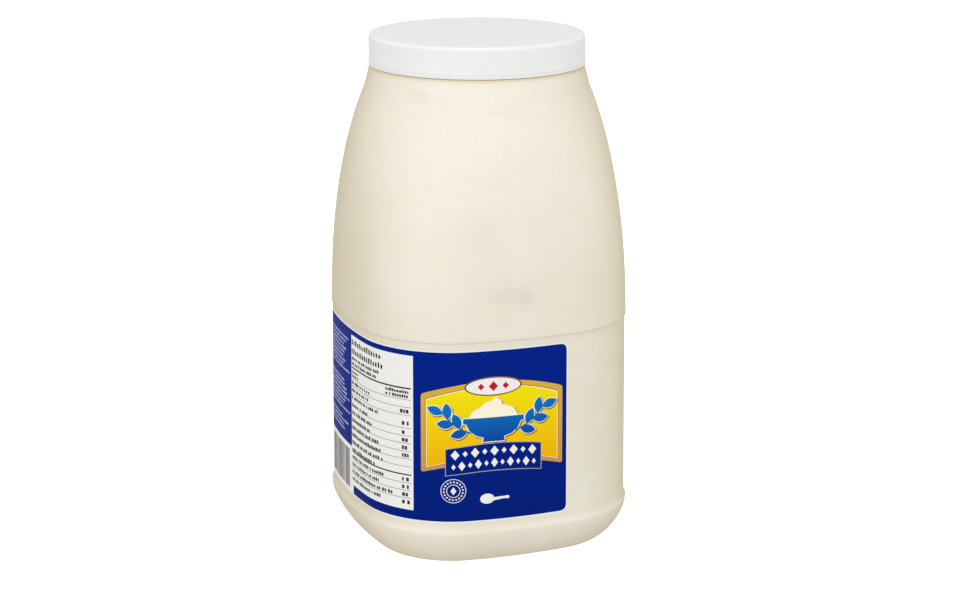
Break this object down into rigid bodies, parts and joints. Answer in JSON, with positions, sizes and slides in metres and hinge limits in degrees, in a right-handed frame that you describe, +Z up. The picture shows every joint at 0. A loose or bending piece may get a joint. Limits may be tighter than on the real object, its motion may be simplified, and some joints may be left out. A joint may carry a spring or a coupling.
{
  "type": "mayonnaise jar",
  "caption": "Large wide-mouth food jar, square with round corners and filled with mayonnaise, with a white screw lid and a wrap label.",
  "frame": {"origin": "middle of the base, on the surface that the jar stands on", "axes": "+Z up, the face with the label's front panel towards -Y, +X to that face's right"},
  "size_m": [0.1478, 0.1478, 0.2625],
  "materials": {
    "jar_plastic": "translucent moulded plastic over cream-coloured contents, satin",
    "lid_plastic": "white moulded plastic, satin",
    "label_film": "printed film, semi-gloss"
  },
  "bodies": {
    "root": {"jar": "jar_plastic", "lid": "lid_plastic", "label": "label_film"}
  },
  "joints": []
}
